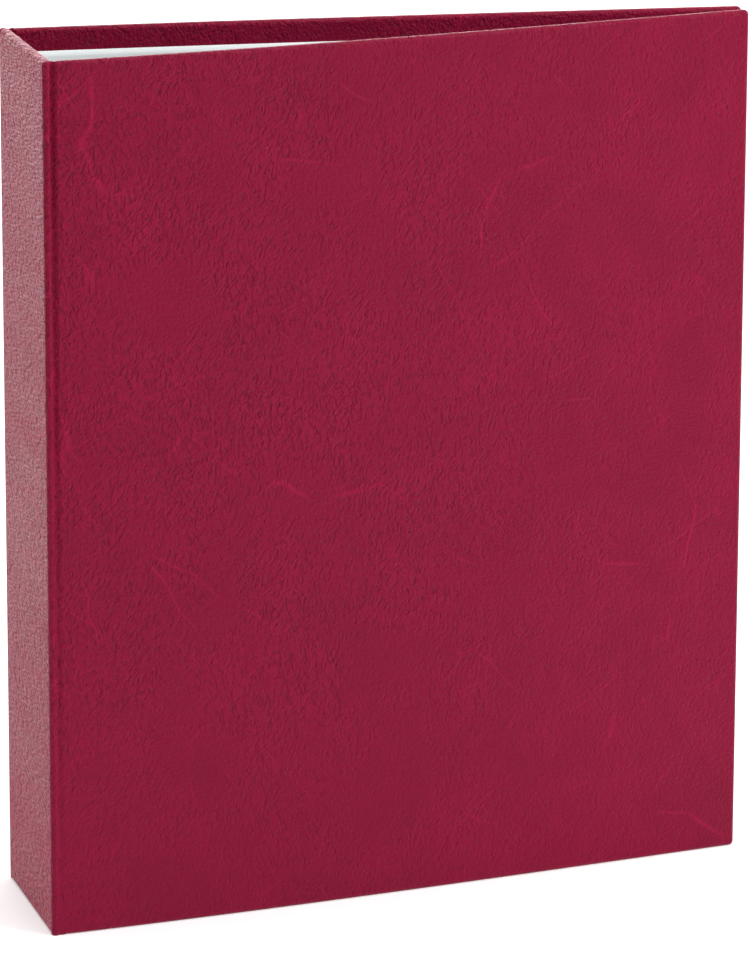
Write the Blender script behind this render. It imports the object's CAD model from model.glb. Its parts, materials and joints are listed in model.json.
import json
import math

import bmesh
import bpy
from mathutils import Matrix, Vector, noise


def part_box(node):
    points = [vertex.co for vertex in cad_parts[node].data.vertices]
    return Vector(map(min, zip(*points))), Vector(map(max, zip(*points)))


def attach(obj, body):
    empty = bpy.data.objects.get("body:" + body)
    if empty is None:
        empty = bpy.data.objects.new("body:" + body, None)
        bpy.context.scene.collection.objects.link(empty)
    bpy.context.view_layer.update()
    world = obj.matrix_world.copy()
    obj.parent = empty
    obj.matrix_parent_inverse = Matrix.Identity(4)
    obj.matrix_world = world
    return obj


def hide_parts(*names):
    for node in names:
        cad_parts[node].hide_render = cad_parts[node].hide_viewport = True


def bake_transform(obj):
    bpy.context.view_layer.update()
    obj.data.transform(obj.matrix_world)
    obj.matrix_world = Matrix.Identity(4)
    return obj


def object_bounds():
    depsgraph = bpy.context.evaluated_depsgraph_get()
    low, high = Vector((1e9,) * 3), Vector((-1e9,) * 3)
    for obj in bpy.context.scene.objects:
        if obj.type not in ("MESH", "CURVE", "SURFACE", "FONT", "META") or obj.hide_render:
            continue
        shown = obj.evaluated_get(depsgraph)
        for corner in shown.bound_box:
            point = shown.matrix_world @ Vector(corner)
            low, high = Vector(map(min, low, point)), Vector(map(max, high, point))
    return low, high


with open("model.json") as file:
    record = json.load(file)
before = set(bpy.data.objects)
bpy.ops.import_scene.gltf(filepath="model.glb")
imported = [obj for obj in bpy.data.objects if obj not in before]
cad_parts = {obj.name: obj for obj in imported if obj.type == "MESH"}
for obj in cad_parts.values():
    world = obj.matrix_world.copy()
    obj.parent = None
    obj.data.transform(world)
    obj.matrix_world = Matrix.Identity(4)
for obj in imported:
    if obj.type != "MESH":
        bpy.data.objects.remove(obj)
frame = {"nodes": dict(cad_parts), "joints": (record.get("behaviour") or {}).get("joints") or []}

cad_low, cad_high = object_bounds()

# ---------------------------------------------------------------- Studio
# A white sweep that glows a little, so that shadows stay faint, in an even white room. A ceiling
# softbox whitens the sweep, a key softbox at the right brightens the cover past its middle, and
# a wide softbox behind gives the sheen on the spine and the pale top edges.

MM = 0.001
LENS_MM = 215.7
CAMERA_PLACE = (-0.4916, -1.6415, 0.5909)
CAMERA_TILT, CAMERA_YAW, CAMERA_ROLL = (math.radians(a) for a in (75.83, -16.53, 0.17))
FRAMING_SHIFT = -0.1
CAMERA_REACH = 40
SWEEP_HALF = 9.0
PAPER_FIBRE = MM / 0.9
ROOM_LIGHT = 0.14
SWEEP_GLOW = 0.25
# Each softbox: its place and its (width, height) in metres, and its power in watts
SOFTBOXES = {
    "ceiling_softbox": ((0.1, -0.1, 2.6), (3.0, 3.0), 72.0),
    "key_softbox": ((0.9, -0.8, 0.95), (0.5, 0.5), 11.0),
    "back_softbox": ((-0.3, 3.2, 1.0), (4.2, 1.3), 100.0),
}

scene = bpy.context.scene
scene.view_settings.view_transform = "Standard"


def linear(hex_colour):
    """An sRGB hex colour as the linear colour that a shader's socket takes."""
    channels = [int(hex_colour[i:i + 2], 16) / 255 for i in (1, 3, 5)]
    return [c / 12.92 if c <= 0.04045 else ((c + 0.055) / 1.055) ** 2.4 for c in channels] + [1.0]


def add(tree, kind, inputs, **settings):
    """Adds one node: inputs are values, or sockets to link from, by the socket's name or number."""
    made = tree.nodes.new(kind)
    for name, value in settings.items():
        setattr(made, name, value)
    for name, value in inputs.items():
        if isinstance(value, bpy.types.NodeSocket):
            tree.links.new(value, made.inputs[name])
        else:
            made.inputs[name].default_value = value
    return made


def noise_field(tree, place, size, detail):
    """Soft noise from 0 to 1, its features about size across in the units of place."""
    return add(tree, "ShaderNodeTexNoise", {
        "Vector": place, "Scale": 1 / size, "Detail": detail}).outputs[0]


def bump(tree, height, strength, distance):
    return add(tree, "ShaderNodeBump", {
        "Height": height, "Strength": strength, "Distance": distance}).outputs[0]


def new_material(name):
    """A material with an empty tree, and its tree."""
    material = bpy.data.materials.new(name)
    material.use_nodes = True
    material.node_tree.nodes.clear()
    return material, material.node_tree


def finish_material(tree, shader):
    add(tree, "ShaderNodeOutputMaterial", {"Surface": shader.outputs[0]})


def mesh_piece(name, vertices, faces, material):
    """A piece from points in metres, smooth shaded, with its doubled points joined."""
    mesh = bpy.data.meshes.new(name)
    mesh.from_pydata(vertices, [], faces)
    grown = bmesh.new()
    grown.from_mesh(mesh)
    bmesh.ops.remove_doubles(grown, verts=grown.verts, dist=2e-6)
    bmesh.ops.dissolve_degenerate(grown, edges=grown.edges, dist=1e-7)
    grown.to_mesh(mesh)
    grown.free()
    mesh.materials.append(material)
    mesh.shade_smooth()
    piece = bpy.data.objects.new(name, mesh)
    scene.collection.objects.link(piece)
    return piece


camera_data = bpy.data.cameras.new("studio_camera")
camera_data.lens = LENS_MM
camera_data.shift_y = FRAMING_SHIFT
camera_data.clip_end = CAMERA_REACH
camera = bpy.data.objects.new("studio_camera", camera_data)
camera.location = CAMERA_PLACE
turns = ((CAMERA_YAW, "Z"), (CAMERA_TILT, "X"), (CAMERA_ROLL, "Z"))
yaw, tilt, roll = (Matrix.Rotation(angle, 3, axis) for angle, axis in turns)
camera.rotation_euler = (yaw @ tilt @ roll).to_euler()
scene.collection.objects.link(camera)
scene.camera = camera

room = bpy.data.worlds.new("white_room")
room.use_nodes = True
room.node_tree.nodes.clear()
room_light = add(room.node_tree, "ShaderNodeBackground", {
    "Color": linear("#ffffff"), "Strength": ROOM_LIGHT})
add(room.node_tree, "ShaderNodeOutputWorld", {"Surface": room_light.outputs[0]})
scene.world = room

album_middle = (cad_low + cad_high) / 2
for name, (place, (wide, high), power) in SOFTBOXES.items():
    light_data = bpy.data.lights.new(name, "AREA")
    light_data.shape = "RECTANGLE"
    light_data.size = wide
    light_data.size_y = high
    light_data.energy = power
    light = bpy.data.objects.new(name, light_data)
    light.location = place
    light.rotation_euler = (Vector(place) - album_middle).to_track_quat("Z", "Y").to_euler()
    light.visible_camera = False
    scene.collection.objects.link(light)

# Sweep: matt white translucent paper, with the faintest fibre in its surface
paper_sweep, tree = new_material("white_background_paper")
place = add(tree, "ShaderNodeTexCoord", {}).outputs["Object"]
fibre = noise_field(tree, place, PAPER_FIBRE, 2.0)
finish_material(tree, add(tree, "ShaderNodeBsdfPrincipled", {
    "Base Color": linear("#f7f7f7"), "Roughness": 0.9, "Specular IOR Level": 0.2,
    "Emission Color": linear("#ffffff"), "Emission Strength": SWEEP_GLOW,
    "Normal": bump(tree, fibre, 0.1, 0.1 * MM)}))
corners = [(x, y, 0.0) for x, y in ((-1, -1), (1, -1), (1, 1), (-1, 1))]
sweep = mesh_piece("sweep", [Vector(c) * SWEEP_HALF for c in corners], [(0, 1, 2, 3)], paper_sweep)

# ---------------------------------------------------------------- Leatherette case
# One skin of burgundy leatherette: paper-backed vinyl, embossed with leather grain, glued over
# three greyboards, creased into the two joints and turned in 15 mm over every edge. It is cut
# here at the corners of the spine, where each cover's half bends with its hinge.

# Lengths are in mm here and in the sections below
SKIN = 0.45
EDGE = 3.4
TURN_IN = 15.0
JOINT = 5.0
EDGE_ROUND = 1.3
BORDER = 1.5
CORNER_ROUND = 1.35
GROOVE_DEPTH = 1.5
GROOVE_END = 4.6
GROOVE_AT_FOOT = 0.15
HINGE_STRIP = 1.04
RISE_AHEAD, RISE_W = 1.15, 1.1
GRID_STEP = 1.5
FINE_STEP = 0.2
FLAT_FROM = JOINT + 1.2
WAVE = 0.16
BROAD_WAVE, NARROW_WAVE = (38, 52), (15, 17)
FRONT_BOW, BACK_BOW = 3.0, 1.5
BOW_AT_FOOT = 0.65

hinge = Vector(next(j["pos_m"] for j in frame["joints"] if j["name"] == "front_cover_hinge")) / MM
half_skin = -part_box("front_leatherette")[0].x / MM + hinge.x
case_h = cad_high.z / MM
board_points = [v.co for v in frame["nodes"]["front_board"].data.vertices]
board_run = max(board_points, key=lambda c: c.x) - min(board_points, key=lambda c: c.y)
wedge = math.atan2(board_run.y, board_run.x)
cover_w = (cad_high.x / MM - hinge.x - half_skin * math.sin(wedge)) / math.cos(wedge) + half_skin


def from_cover(x, y):
    """A point of the flat front cover, its outer face at y = 0, in the closed album's plan."""
    dx, dy = x - half_skin, y - half_skin
    return (hinge.x + dx * math.cos(wedge) - dy * math.sin(wedge),
            hinge.y + dx * math.sin(wedge) + dy * math.cos(wedge))


def to_world(x, y, z, side):
    """The plan point at height z in metres, on the front (side -1) or mirrored to the back (1)."""
    return Vector((x, -side * y, z)) * MM


def on_cover(x, depth, z, side):
    """A point of a cover: x from the spine, depth in from its outer face, as the cover bows."""
    along = min(max((x - JOINT) / (cover_w - JOINT), 0.0), 1.0)
    most = (FRONT_BOW if side < 0 else BACK_BOW) * (BOW_AT_FOOT + (1 - BOW_AT_FOOT) * z / case_h)
    px, py = from_cover(x, depth - most * math.sin(math.pi * along ** 0.8))
    return to_world(px, py, z, side)


# Corner of the spine: an arc that meets the spine's face and the cover's face
arc_y = CORNER_ROUND
arc_lean = CORNER_ROUND - half_skin + (arc_y - half_skin) * math.sin(wedge)
arc_x = half_skin + arc_lean / math.cos(wedge)


def ease(t):
    """Rises smoothly from 0 to 1 as t does."""
    t = min(max(t, 0.0), 1.0)
    return t * t * (3 - 2 * t)


def cover_section(x):
    """Depth of the outer face, and thickness over the turned-in edge, at x on the flat cover."""
    along = min(max((x - arc_x) / (GROOVE_END - arc_x), 0.0), 1.0)
    groove = GROOVE_DEPTH * math.sin(math.pi * along ** 0.75) ** 2
    return groove, HINGE_STRIP + (EDGE - HINGE_STRIP) * ease((x - JOINT + RISE_AHEAD) / RISE_W)


FOLD_TURN = 22.5
INNER_BORDER = (1.8, 3.2, 5.5, 8.5, 12.0, TURN_IN)


def fold(thickness):
    """The turned-in edge in section: (inset from the edge, depth), outer face to inner border."""
    r = min(EDGE_ROUND, 0.48 * thickness)
    points = [(BORDER, 0.0)]
    for step in range(5):
        a = math.radians(FOLD_TURN * step)
        points.append((r * (1 - math.sin(a)), r * (1 - math.cos(a))))
    for step in range(5):
        a = math.radians(90 + FOLD_TURN * step)
        points.append((r * (1 - math.sin(a)), thickness - r * (1 + math.cos(a))))
    return points + [(inset, thickness) for inset in INNER_BORDER]


FOLD_COUNT = len(fold(EDGE))
CORNER_STEPS = 4
SPINE_CORNER_STEPS = 8


def corner_stations():
    """Round the spine's corner and over the joint: (plan point, inward, thickness, groove)."""
    stations = []
    for step in range(SPINE_CORNER_STEPS + 1):
        a = math.pi - wedge + (math.pi / 2 + wedge) * step / SPINE_CORNER_STEPS
        inward = (-math.cos(a), -math.sin(a))
        point = (arc_x + CORNER_ROUND * math.cos(a), arc_y + CORNER_ROUND * math.sin(a))
        stations.append((point, inward, HINGE_STRIP, 0.0))
    x = arc_x + FINE_STEP
    while x < FLAT_FROM:
        groove, thickness = cover_section(x)
        stations.append(((x, 0.0), (0.0, 1.0), thickness, groove))
        x += FINE_STEP
    return stations


def soft_wave(x, z):
    """How far the glued skin stands off or sinks at a place on a cover, in mm."""
    edge = min(x - JOINT, cover_w - x, z, case_h - z)
    broad = noise.noise(Vector((x / BROAD_WAVE[0], 0.4, z / BROAD_WAVE[1])))
    narrow = noise.noise(Vector((x / NARROW_WAVE[0], 3.1, z / NARROW_WAVE[1])))
    return WAVE * (broad + 0.5 * narrow) * ease((edge - 2) / 12)


def cover_skin(name, side, material):
    """Leatherette of one cover, with the joint and the rounded corner of the spine."""
    joint = corner_stations()
    first_x = joint[-1][0][0]
    columns = round((cover_w - BORDER - first_x) / GRID_STEP)
    rows = round((case_h - 2 * BORDER) / GRID_STEP)
    vertices, faces = [], []

    def point(station, depth, z):
        (x, y), (nx, ny), _, groove = station
        groove *= GROOVE_AT_FOOT + (1 - GROOVE_AT_FOOT) * z / case_h
        vertices.append(on_cover(x + nx * (depth + groove), y + ny * (depth + groove), z, side))
        return len(vertices) - 1

    def flat(x, depth, z):
        return point(((x, 0.0), (0.0, 1.0), EDGE, 0.0), depth, z)

    def row(inset, depths, z):
        """One line of points along the bottom or top, from the spine's corner to the fore-edge."""
        line = [point(s, d, z) for s, d in zip(joint, depths)]
        last_x = cover_w - max(inset, BORDER)
        for i in range(1, columns + 1):
            x = first_x + (last_x - first_x) * i / columns
            line.append(flat(x, depths[-1], z))
        return line

    def quads(a, b):
        for i in range(len(a) - 1):
            faces.append((a[i], a[i + 1], b[i + 1], b[i]))

    # Outer face
    previous = None
    for j in range(rows + 1):
        z = BORDER + (case_h - 2 * BORDER) * j / rows
        line = [point(s, 0.0, z) for s in joint]
        for i in range(1, columns + 1):
            x = first_x + (cover_w - BORDER - first_x) * i / columns
            line.append(flat(x, -soft_wave(x, z), z))
        if previous:
            quads(previous, line)
        previous = line

    # Edges: rings that run along the bottom, up the fore-edge and back along the top
    folds = [fold(s[2]) for s in joint]
    previous = None
    for k in range(FOLD_COUNT):
        inset, depth = fold(EDGE)[k]
        depths = [f[k][1] for f in folds]
        ring = row(inset, depths, inset)
        radius = max(BORDER - inset, 0.0)
        centre = max(inset, BORDER)
        for step in range(1, CORNER_STEPS):
            a = math.pi / 2 * step / CORNER_STEPS
            ring.append(flat(cover_w - centre + radius * math.sin(a), depth,
                             centre - radius * math.cos(a)))
        for j in range(rows + 1):
            z = centre + (case_h - 2 * centre) * j / rows
            ring.append(flat(cover_w - inset, depth, z))
        for step in range(1, CORNER_STEPS):
            a = math.pi / 2 * step / CORNER_STEPS
            ring.append(flat(cover_w - centre + radius * math.cos(a), depth,
                             case_h - centre + radius * math.sin(a)))
        ring += reversed(row(inset, depths, case_h - inset))
        if previous:
            quads(ring, previous)
        previous = ring
    if side > 0:
        faces = [tuple(reversed(f)) for f in faces]
    piece = mesh_piece(name, vertices, faces, material)
    return thicken(piece, SKIN)


def apply_modifiers(piece):
    """Turns what the modifiers make into the piece's own mesh, and removes them."""
    graph = bpy.context.evaluated_depsgraph_get()
    made = bpy.data.meshes.new_from_object(piece.evaluated_get(graph))
    piece.modifiers.clear()
    piece.data = made
    return piece


def thicken(piece, thickness, grain=(1.0, 1.0, 1.0)):
    """Gives a sheet its thickness behind its outer face, and stores the place in mm that its
    pattern reads, scaled by grain."""
    wall = piece.modifiers.new("thickness", "SOLIDIFY")
    wall.thickness = thickness * MM
    wall.offset = -1
    apply_modifiers(piece)
    rest = piece.data.attributes.new("rest_mm", "FLOAT_VECTOR", "POINT")
    scale = Vector(grain) / MM
    rest.data.foreach_set("vector", [c for v in piece.data.vertices for c in v.co * scale])
    return piece


def ramp(tree, value, start, end, first, last):
    """Goes from first to last as value goes from start to end."""
    return add(tree, "ShaderNodeMapRange", {
        "Value": value, "From Min": start, "From Max": end,
        "To Min": first, "To Max": last}).outputs[0]


def two_tone(tree, share, dark, light):
    """A colour between two hex colours."""
    return add(tree, "ShaderNodeMix", {
        0: share, 6: linear(dark), 7: linear(light)}, data_type="RGBA").outputs[2]


# Leatherette: embossed vinyl. The eye sees fine pebbles, patches of short creases that run
# lengthways and lean and weaken to the foot and the fore-edge, a few long raised veins, and a
# satin face with a fine bloom that turns it pink at grazing angles. The vinyl's index is low, so
# that it stays deep red seen square on. Sizes and heights are in mm.
PEBBLE_MM, FLECK_MM, PATCH_MM, VEIN_MM, SWELL_MM, MOTTLE_MM = 0.9, 1.05, 26.0, 24.0, 7.0, 24.0
SWELL_HEIGHT, FLECK_HEIGHT, VEIN_HEIGHT = 0.25, -0.3, 0.1
VEIN_W = 0.3
# Each kind of fleck: how far it leans in degrees, and where in the noise its patches lie
FLECK_KINDS = ((4, 0.0), (-24, 90.0), (32, 210.0))
VEIN_KINDS = ((52, 40.0), (-38, 160.0))
# Creases fade along x and along z: (from, to, strength there, strength there)
FADE_TO_FORE_EDGE = (-20.0, 90.0, 1.0, 0.45)
FADE_TO_FOOT = (0.0, 110.0, 0.5, 1.0)
BASE_TONE, MOTTLE_TONE, FLECK_TONE, PATCH_TONE, VEIN_TONE = 0.22, 0.3, -0.12, 0.09, 0.45


def leatherette_material(name, pebble_height):
    material, tree = new_material(name)
    place = add(tree, "ShaderNodeAttribute", {}, attribute_name="rest_mm").outputs["Vector"]

    def maths(operation, a, b):
        return add(tree, "ShaderNodeMath", {0: a, 1: b}, operation=operation).outputs[0]

    def smooth(value, low, high):
        return add(tree, "ShaderNodeMapRange", {"Value": value, "From Min": low, "From Max": high},
                   interpolation_type="SMOOTHSTEP").outputs[0]

    def cloud(vector, size, detail, offset=0.0):
        moved = add(tree, "ShaderNodeVectorMath", {0: vector, 1: (offset,) * 3}).outputs[0]
        return noise_field(tree, moved, size, detail)

    def leaning(turn, squeeze, wobble_mm, wobble_size):
        """The place turned, squeezed lengthways and wobbled, for marks that lean and wander."""
        wobble = add(tree, "ShaderNodeTexNoise", {
            "Vector": place, "Scale": 1 / wobble_size, "Detail": 2.0}).outputs["Color"]
        centred = add(tree, "ShaderNodeVectorMath", {0: wobble, 1: (0.5, 0.5, 0.5)},
                      operation="SUBTRACT").outputs[0]
        moved = add(tree, "ShaderNodeVectorMath", {
            0: centred, 1: (wobble_mm,) * 3, 2: place}, operation="MULTIPLY_ADD").outputs[0]
        return add(tree, "ShaderNodeMapping", {
            "Vector": moved, "Rotation": (0.0, math.radians(turn), 0.0),
            "Scale": (1.0, 1.0, squeeze)}, vector_type="TEXTURE").outputs[0]

    def flecks(turn, patch):
        """Short, separate lengthways creases in one kind of patch, leaning by turn degrees."""
        marks = smooth(cloud(leaning(turn, squeeze=2.4, wobble_mm=3.0, wobble_size=8.0), FLECK_MM, 1.5),
                       0.53, 0.62)
        return maths("MULTIPLY", marks, patch)

    def veins(turn, offset):
        """Long hair-thin raised lines that fade in and out."""
        cells = add(tree, "ShaderNodeTexVoronoi", {
            "Vector": leaning(turn, squeeze=3.5, wobble_mm=9.0, wobble_size=30.0),
            "Scale": 1 / VEIN_MM},
            feature="DISTANCE_TO_EDGE").outputs["Distance"]
        return maths("MULTIPLY", smooth(cells, VEIN_W / VEIN_MM, 0.0),
                     smooth(cloud(place, 30.0, 2.0, offset), 0.52, 0.66))

    patches = [smooth(cloud(place, PATCH_MM, 3.0, offset), 0.42, 0.58) for _, offset in FLECK_KINDS]
    upright, left, right = (flecks(turn, patch) for (turn, _), patch in zip(FLECK_KINDS, patches))
    creased = maths("ADD", upright, maths("ADD", left, right))
    axes = add(tree, "ShaderNodeSeparateXYZ", {0: place}).outputs
    fade = maths("MULTIPLY", ramp(tree, axes["X"], *FADE_TO_FORE_EDGE),
                 ramp(tree, axes["Z"], *FADE_TO_FOOT))
    creased = maths("MULTIPLY", creased, fade)
    worked = maths("ADD", patches[0], maths("ADD", patches[1], patches[2]))
    veined = maths("MAXIMUM", *(veins(turn, offset) for turn, offset in VEIN_KINDS))
    pebbles = add(tree, "ShaderNodeTexVoronoi", {
        "Vector": place, "Scale": 1 / PEBBLE_MM, "Smoothness": 0.6},
        feature="SMOOTH_F1").outputs["Distance"]
    height = maths("MULTIPLY", pebbles, -pebble_height)
    height = maths("ADD", height, maths("MULTIPLY", cloud(place, SWELL_MM, 3.0), SWELL_HEIGHT))
    height = maths("ADD", height, maths("MULTIPLY", creased, FLECK_HEIGHT))
    height = maths("ADD", height, maths("MULTIPLY", veined, VEIN_HEIGHT))

    mottle = cloud(place, MOTTLE_MM, 4.0, 30.0)
    tone = maths("ADD", maths("MULTIPLY", mottle, MOTTLE_TONE), maths("MULTIPLY", creased, FLECK_TONE))
    tone = maths("ADD", maths("ADD", tone, BASE_TONE), maths("MULTIPLY", worked, PATCH_TONE))
    tone = maths("ADD", tone, maths("MULTIPLY", veined, VEIN_TONE))
    finish_material(tree, add(tree, "ShaderNodeBsdfPrincipled", {
        "Base Color": two_tone(tree, tone, "#6c0527", "#990f3b"),
        "Roughness": ramp(tree, mottle, 0.3, 0.7, 0.38, 0.46), "IOR": 1.21,
        "Sheen Weight": 0.5, "Sheen Roughness": 0.3, "Sheen Tint": linear("#ff5f7c"),
        "Normal": bump(tree, height, 1.0, MM)}))
    return material


leatherette = leatherette_material("embossed_leatherette", pebble_height=0.28)
for side, word in ((-1, "front"), (1, "back")):
    skin = cover_skin(word + "_cover_leatherette", side, leatherette)
    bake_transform(skin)
    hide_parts(word + "_leatherette")


SPINE_GRAIN = (1.0, 0.3, 1.4)
SPINE_EDGE_PLACES = (0.0, 0.2, 0.4, 0.6, 0.8, 1.4)


def spine_skin(name, material):
    """Leatherette of the spine between its two rounded corners, turned in at top and bottom."""
    half = -from_cover(arc_x - CORNER_ROUND * math.cos(wedge),
                       arc_y + CORNER_ROUND * math.sin(wedge))[1]
    count = round(2 * half / GRID_STEP)
    rows = round((case_h - 2 * BORDER) / GRID_STEP)
    places = [-half + y for y in SPINE_EDGE_PLACES]
    inner = [places[-1] + (-2 * places[-1]) * i / count for i in range(1, count)]
    places += inner + [-y for y in reversed(places)]
    vertices, faces = [], []

    def thickness(y):
        return HINGE_STRIP + (EDGE - HINGE_STRIP) * ease((half - abs(y)) / 0.8)

    def line(depths, z):
        start = len(vertices)
        for y, depth in zip(places, depths):
            vertices.append(Vector((hinge.x - half_skin + depth, y, z)) * MM)
        return list(range(start, len(vertices)))

    def quads(a, b):
        for i in range(len(a) - 1):
            faces.append((a[i + 1], a[i], b[i], b[i + 1]))

    previous = None
    for j in range(rows + 1):
        z = BORDER + (case_h - 2 * BORDER) * j / rows
        waves = [soft_wave(y + case_h / 2, z) * ease((half - abs(y)) / 8) * 0.6 for y in places]
        current = line([-w for w in waves], z)
        if previous:
            quads(previous, current)
        previous = current
    folds = [fold(thickness(y)) for y in places]
    for top in (False, True):
        previous = None
        for k in range(FOLD_COUNT):
            start = len(vertices)
            for y, section in zip(places, folds):
                inset, depth = section[k]
                z = case_h - inset if top else inset
                vertices.append(Vector((hinge.x - half_skin + depth, y, z)) * MM)
            current = list(range(start, len(vertices)))
            if previous:
                quads(*((previous, current) if top else (current, previous)))
            previous = current
    return thicken(mesh_piece(name, vertices, faces, material), SKIN, SPINE_GRAIN)


# The spine's pebbles are drawn wider and deeper, so that their glints show at a slant
spine_leatherette = leatherette_material("embossed_spine_leatherette", pebble_height=0.8)
spine = spine_skin("spine_case_leatherette", spine_leatherette)
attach(spine, "spine")
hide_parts("spine_leatherette")

# ---------------------------------------------------------------- Liner
# White lining paper, glued inside each cover over the turned-in leatherette and across the
# joint, so that the edge of the turn-in shows through it as a low step.

LINER = 0.3
LINER_INSET = 7.0
STEP_W = 1.3
STEP_H = 0.5
SPINE_COUNT, COVER_COUNT, HEIGHT_COUNT = 18, 150, 60
# The sheet's way through the gutter, from the corner of the spine to the joint
GUTTER = ((3.35, 2.1), (3.6, 1.75), (3.95, 1.55), (4.3, 1.5), (4.6, 1.62), (4.8, 1.95))


def liner_material():
    """Uncoated paper: cool white, with fibres and a very slight cockle from the glue."""
    material, tree = new_material("white_lining_paper")
    place = add(tree, "ShaderNodeAttribute", {}, attribute_name="rest_mm").outputs["Vector"]
    fibres = noise_field(tree, place, 0.7, 5.0)
    cockle = noise_field(tree, place, 25.0, 2.0)
    height = add(tree, "ShaderNodeMath", {0: cockle, 1: 2.5, 2: fibres},
                 operation="MULTIPLY_ADD").outputs[0]
    finish_material(tree, add(tree, "ShaderNodeBsdfPrincipled", {
        "Base Color": two_tone(tree, fibres, "#eef5f6", "#fafdfd"), "Roughness": 0.75,
        "Specular IOR Level": 0.25, "Normal": bump(tree, height, 0.6, 0.05 * MM)}))
    return material


def liner_half(name, side, material):
    """Liner of one cover and half the spine, as one sheet across the joint."""
    face = EDGE - STEP_H + LINER
    spine_x = hinge.x - half_skin
    gutter_y = hinge.y - half_skin
    spine_stations = []
    for i in range(SPINE_COUNT + 1):
        y = (gutter_y + 2.6) * i / SPINE_COUNT
        spine_stations.append((spine_x + face, y, STEP_H))
    for x, y in GUTTER:
        spine_stations.append((spine_x + x, gutter_y + y, 0.0))
    run = cover_w - LINER_INSET - JOINT - 0.2
    cover_stations = [JOINT + 0.2 + run * i / COVER_COUNT for i in range(COVER_COUNT + 1)]
    foot = [LINER_INSET, 9.0, 11.0, 13.0]
    foot += [TURN_IN - STEP_W / 2 + STEP_W * i / 4 for i in range(5)]
    middle = case_h - 2 * (TURN_IN + STEP_W)
    heights = foot + [TURN_IN + STEP_W + middle * i / HEIGHT_COUNT for i in range(HEIGHT_COUNT + 1)]
    heights += [case_h - z for z in reversed(foot)]
    vertices, faces = [], []
    width = len(spine_stations) + len(cover_stations)
    for z in heights:
        near_edge = min(z, case_h - z)
        folded = ease((TURN_IN + STEP_W / 2 - near_edge) / STEP_W)
        for x, y, step in spine_stations:
            vertices.append(to_world(x + step * folded, y, z, side))
        for x in cover_stations:
            over = ease((x - (cover_w - TURN_IN) + STEP_W / 2) / STEP_W)
            vertices.append(on_cover(x, face + STEP_H * max(over, folded), z, side))
    for j in range(len(heights) - 1):
        for i in range(width - 1):
            a = j * width + i
            quad = (a, a + width, a + width + 1, a + 1)
            faces.append(quad if side < 0 else tuple(reversed(quad)))
    return thicken(mesh_piece(name, vertices, faces, material), LINER * 0.9)


lining_paper = liner_material()
for side, word in ((-1, "front"), (1, "back")):
    liner = liner_half(word + "_half_liner", side, lining_paper)
    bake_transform(liner)
    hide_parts(word + "_liner", "spine_liner")

# ---------------------------------------------------------------- Greyboards
# Grey millboard, die-cut, hidden between the leatherette and the liner. The two cover boards
# have bowed outwards with the pull of the drying glue.

BOARD = 2.4
BOARD_INSET = 0.5

# Millboard: grey, rough and flecked with pulp
greyboard, tree = new_material("grey_millboard")
place = add(tree, "ShaderNodeTexCoord", {}).outputs["Object"]
pulp = noise_field(tree, place, 1.2 * MM, 6.0)
finish_material(tree, add(tree, "ShaderNodeBsdfPrincipled", {
    "Base Color": two_tone(tree, pulp, "#7d776c", "#a19a8d"), "Roughness": 0.85,
    "Normal": bump(tree, pulp, 0.5, 0.1 * MM)}))


def repaint(names, material):
    for name in names:
        mesh = frame["nodes"][name].data
        mesh.materials.clear()
        mesh.materials.append(material)


repaint(["spine_board"], greyboard)


def cover_board(name, side, material):
    """Greyboard of one cover, from the joint to the fore-edge."""
    columns, rows = 60, 12
    vertices, faces = [], []
    for j in range(rows + 1):
        z = BOARD_INSET + (case_h - 2 * BOARD_INSET) * j / rows
        for i in range(columns + 1):
            x = JOINT + (cover_w - BOARD_INSET - JOINT) * i / columns
            vertices.append(on_cover(x, BOARD_INSET, z, side))
    for j in range(rows):
        for i in range(columns):
            a = j * (columns + 1) + i
            quad = (a, a + 1, a + columns + 2, a + columns + 1)
            faces.append(quad if side < 0 else tuple(reversed(quad)))
    return thicken(mesh_piece(name, vertices, faces, material), BOARD)


for side, word in ((-1, "front"), (1, "back")):
    board = cover_board(word + "_cover_board", side, greyboard)
    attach(board, word + "_cover")
    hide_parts(word + "_board")

# ---------------------------------------------------------------- Ring mechanism
# Pressed sheet steel and drawn wire, nickel plated: the arched plate, the half rings, the
# triggers and the domed rivets. The blades, posts, washers and pins are zinc plated.


def plated_material(name, light, dark, roughness, lay):
    """Plated steel: polished before plating, so that only faint lines along it and a slight
    cloudiness break up its reflections."""
    material, tree = new_material(name)
    place = add(tree, "ShaderNodeTexCoord", {}).outputs["Object"]
    drawn = add(tree, "ShaderNodeMapping", {"Vector": place, "Scale": (1.0, 1.0, lay)}).outputs[0]
    streaks = noise_field(tree, drawn, 0.35 * MM, 3.0)
    haze = noise_field(tree, place, 9 * MM, 3.0)
    finish_material(tree, add(tree, "ShaderNodeBsdfPrincipled", {
        "Base Color": two_tone(tree, haze, dark, light), "Metallic": 1.0,
        "Roughness": ramp(tree, haze, 0.3, 0.7, roughness * 0.8, roughness * 1.3),
        "Normal": bump(tree, streaks, 0.25, 0.02 * MM)}))
    return material


bright_nickel = plated_material("bright_nickel_plate", "#dcdcd8", "#c6c6c2", roughness=0.14, lay=0.08)
dull_zinc = plated_material("dull_zinc_plate", "#c2c6cb", "#9ea3aa", roughness=0.34, lay=0.2)
repaint(["ring_plate", "half_rings_front", "half_rings_back", "trigger_top", "trigger_bottom",
         "mounting_rivets"], bright_nickel)
repaint(["ring_blade_front", "ring_blade_back", "rivet_posts", "rivet_washers",
         "trigger_pins"], dull_zinc)

# ---------------------------------------------------------------- Leaves
# Coin pages of clear soft film, welded into pockets whose front film has a thumb cut, and
# white card interleaves. All are punched with slots for the rings.

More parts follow.
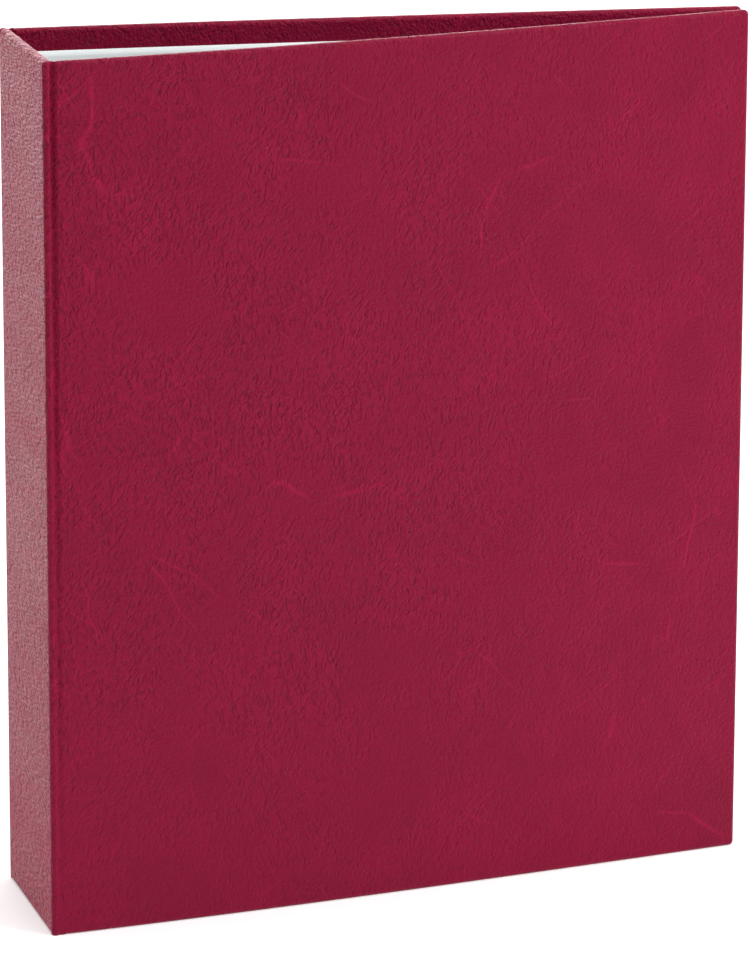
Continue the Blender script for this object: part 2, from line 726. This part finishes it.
# Card: smooth warm white, with the slightest fibre
interleaf_card, tree = new_material("white_interleaf_card")
place = add(tree, "ShaderNodeTexCoord", {}).outputs["Object"]
fibres = noise_field(tree, place, 0.6 * MM, 5.0)
finish_material(tree, add(tree, "ShaderNodeBsdfPrincipled", {
    "Base Color": two_tone(tree, fibres, "#ecebe6", "#f8f8f5"), "Roughness": 0.6,
    "Specular IOR Level": 0.35, "Normal": bump(tree, fibres, 0.4, 0.04 * MM)}))
repaint([n for n in frame["nodes"] if n.startswith("interleaf")], interleaf_card)

# Film: clear soft vinyl, glossy, with slack waves that break up its reflections
clear_film, tree = new_material("clear_soft_film")
place = add(tree, "ShaderNodeTexCoord", {}).outputs["Object"]
slack = noise_field(tree, place, 14 * MM, 2.0)
finish_material(tree, add(tree, "ShaderNodeBsdfPrincipled", {
    "Base Color": linear("#e4eef2"), "Roughness": 0.12, "IOR": 1.45, "Alpha": 0.32,
    "Normal": bump(tree, slack, 0.7, 0.5 * MM)}))
repaint([n for n in frame["nodes"] if n.startswith("coin_page")], clear_film)

# ---------------------------------------------------------------- Pocket windows
# The second film of each coin page: a small window over every pocket, welded to the page on
# three sides and open at the top, with a half-round thumb cut to push the coin out by.

POCKET_COLUMNS, POCKET_ROWS = 5, 7
BINDING_W = 18.0
WELD_W = 3.0
WINDOW_FILM = 0.08
THUMB_CUT = 6.5
CUT_STEPS = 10
CLEARANCE = 0.01

page_low, page_high = (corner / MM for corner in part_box("coin_page_1"))
pitch_x = (page_high.x - page_low.x - BINDING_W) / POCKET_COLUMNS
pitch_z = (page_high.z - page_low.z) / POCKET_ROWS


def pocket_window(name, material):
    """One window, its outer face towards the front cover, centred on the origin."""
    half_w, half_h = (pitch_x - WELD_W) / 2, (pitch_z - WELD_W) / 2
    outline = [(-half_w, -half_h), (half_w, -half_h), (half_w, half_h)]
    for step in range(CUT_STEPS + 1):
        a = math.pi * step / CUT_STEPS
        outline.append((THUMB_CUT * math.cos(a), half_h - THUMB_CUT * math.sin(a)))
    outline.append((-half_w, half_h))
    count = len(outline)
    vertices = [Vector((x, y, z)) * MM for y in (0.0, WINDOW_FILM) for x, z in outline]
    faces = [tuple(range(count)), tuple(reversed(range(count, 2 * count)))]
    for i in range(count):
        following = (i + 1) % count
        faces.append((i, count + i, count + following, following))
    window = mesh_piece(name, vertices, faces, material)
    window.data.shade_flat()
    return window


pocket_grid = bpy.data.node_groups.new("pocket_grid", "GeometryNodeTree")
sockets = {}
for name, kind in (("Window", "Geometry"), ("Width", "Float"), ("Height", "Float"),
                   ("Columns", "Int"), ("Rows", "Int"), ("Middle", "Vector"),
                   ("Film", "Material")):
    made = pocket_grid.interface.new_socket(name, in_out="INPUT", socket_type="NodeSocket" + kind)
    sockets[name] = made.identifier
pocket_grid.interface.new_socket("Windows", in_out="OUTPUT", socket_type="NodeSocketGeometry")
given = add(pocket_grid, "NodeGroupInput", {}).outputs
flat_grid = add(pocket_grid, "GeometryNodeMeshGrid", {
    "Size X": given["Width"], "Size Y": given["Height"],
    "Vertices X": given["Columns"], "Vertices Y": given["Rows"]}).outputs[0]
upright = add(pocket_grid, "GeometryNodeTransform", {
    "Geometry": flat_grid, "Translation": given["Middle"],
    "Rotation": (math.pi / 2, 0, 0)}).outputs[0]
copies = add(pocket_grid, "GeometryNodeInstanceOnPoints", {
    "Points": upright, "Instance": given["Window"]}).outputs[0]
joined = add(pocket_grid, "GeometryNodeRealizeInstances", {"Geometry": copies}).outputs[0]
filmed = add(pocket_grid, "GeometryNodeSetMaterial", {
    "Geometry": joined, "Material": given["Film"]}).outputs[0]
add(pocket_grid, "NodeGroupOutput", {"Windows": filmed})

for page in sorted(n for n in frame["nodes"] if n.startswith("coin_page")):
    low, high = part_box(page)
    windows = pocket_window(page + "_windows", clear_film)
    repeat = windows.modifiers.new("pocket_grid", "NODES")
    repeat.node_group = pocket_grid
    middle = Vector(((low.x + BINDING_W * MM + high.x) / 2, low.y + CLEARANCE * MM,
                     (low.z + high.z) / 2))
    settings = {"Width": pitch_x * (POCKET_COLUMNS - 1) * MM,
                "Height": pitch_z * (POCKET_ROWS - 1) * MM, "Columns": POCKET_COLUMNS,
                "Rows": POCKET_ROWS, "Middle": middle, "Film": clear_film}
    for name, value in settings.items():
        repeat[sockets[name]] = value
    apply_modifiers(windows)
    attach(windows, page)
